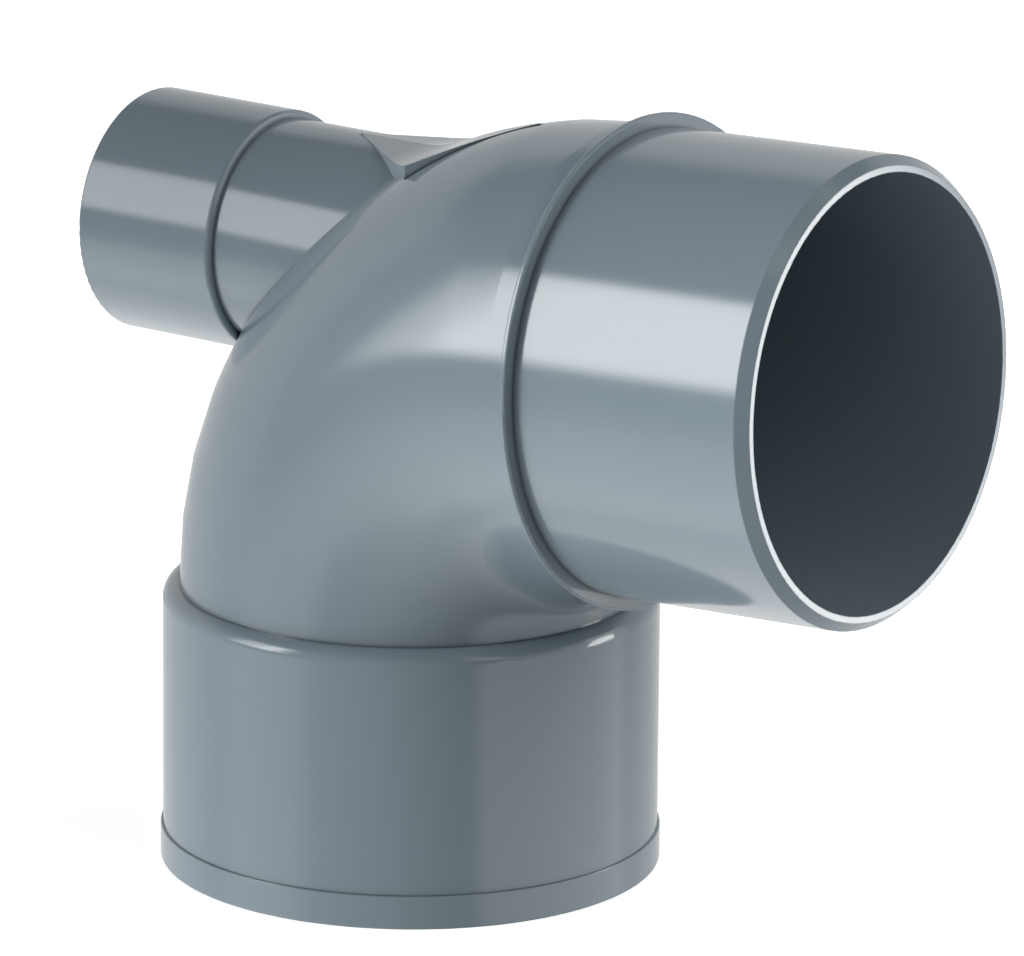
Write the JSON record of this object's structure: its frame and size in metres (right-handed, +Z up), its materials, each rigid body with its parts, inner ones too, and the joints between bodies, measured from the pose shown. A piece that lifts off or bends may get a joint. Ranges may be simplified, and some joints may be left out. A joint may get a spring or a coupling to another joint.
{
  "type": "drain elbow",
  "caption": "Plastic drain elbow of 87.5 degrees: a socket below, a plain spigot at the side and a smaller socket branch on the back of the bend.",
  "frame": {"origin": "Centre of the main socket's mouth, in the plane of its rim. The part stands on that rim.", "axes": "+Z runs up the main socket's axis, from its mouth towards the bend. +X is the side that the spigot leaves to, 2.5 degrees above the level. The small branch leaves along -X. +Y completes the right-handed frame and is square to the part's plane of symmetry, which is Y = 0."},
  "size_m": [0.2132, 0.12, 0.1913],
  "materials": {
    "grey_pvc": "smooth glossy grey moulded PVC"
  },
  "bodies": {
    "root": {"elbow": "grey_pvc"}
  },
  "joints": []
}
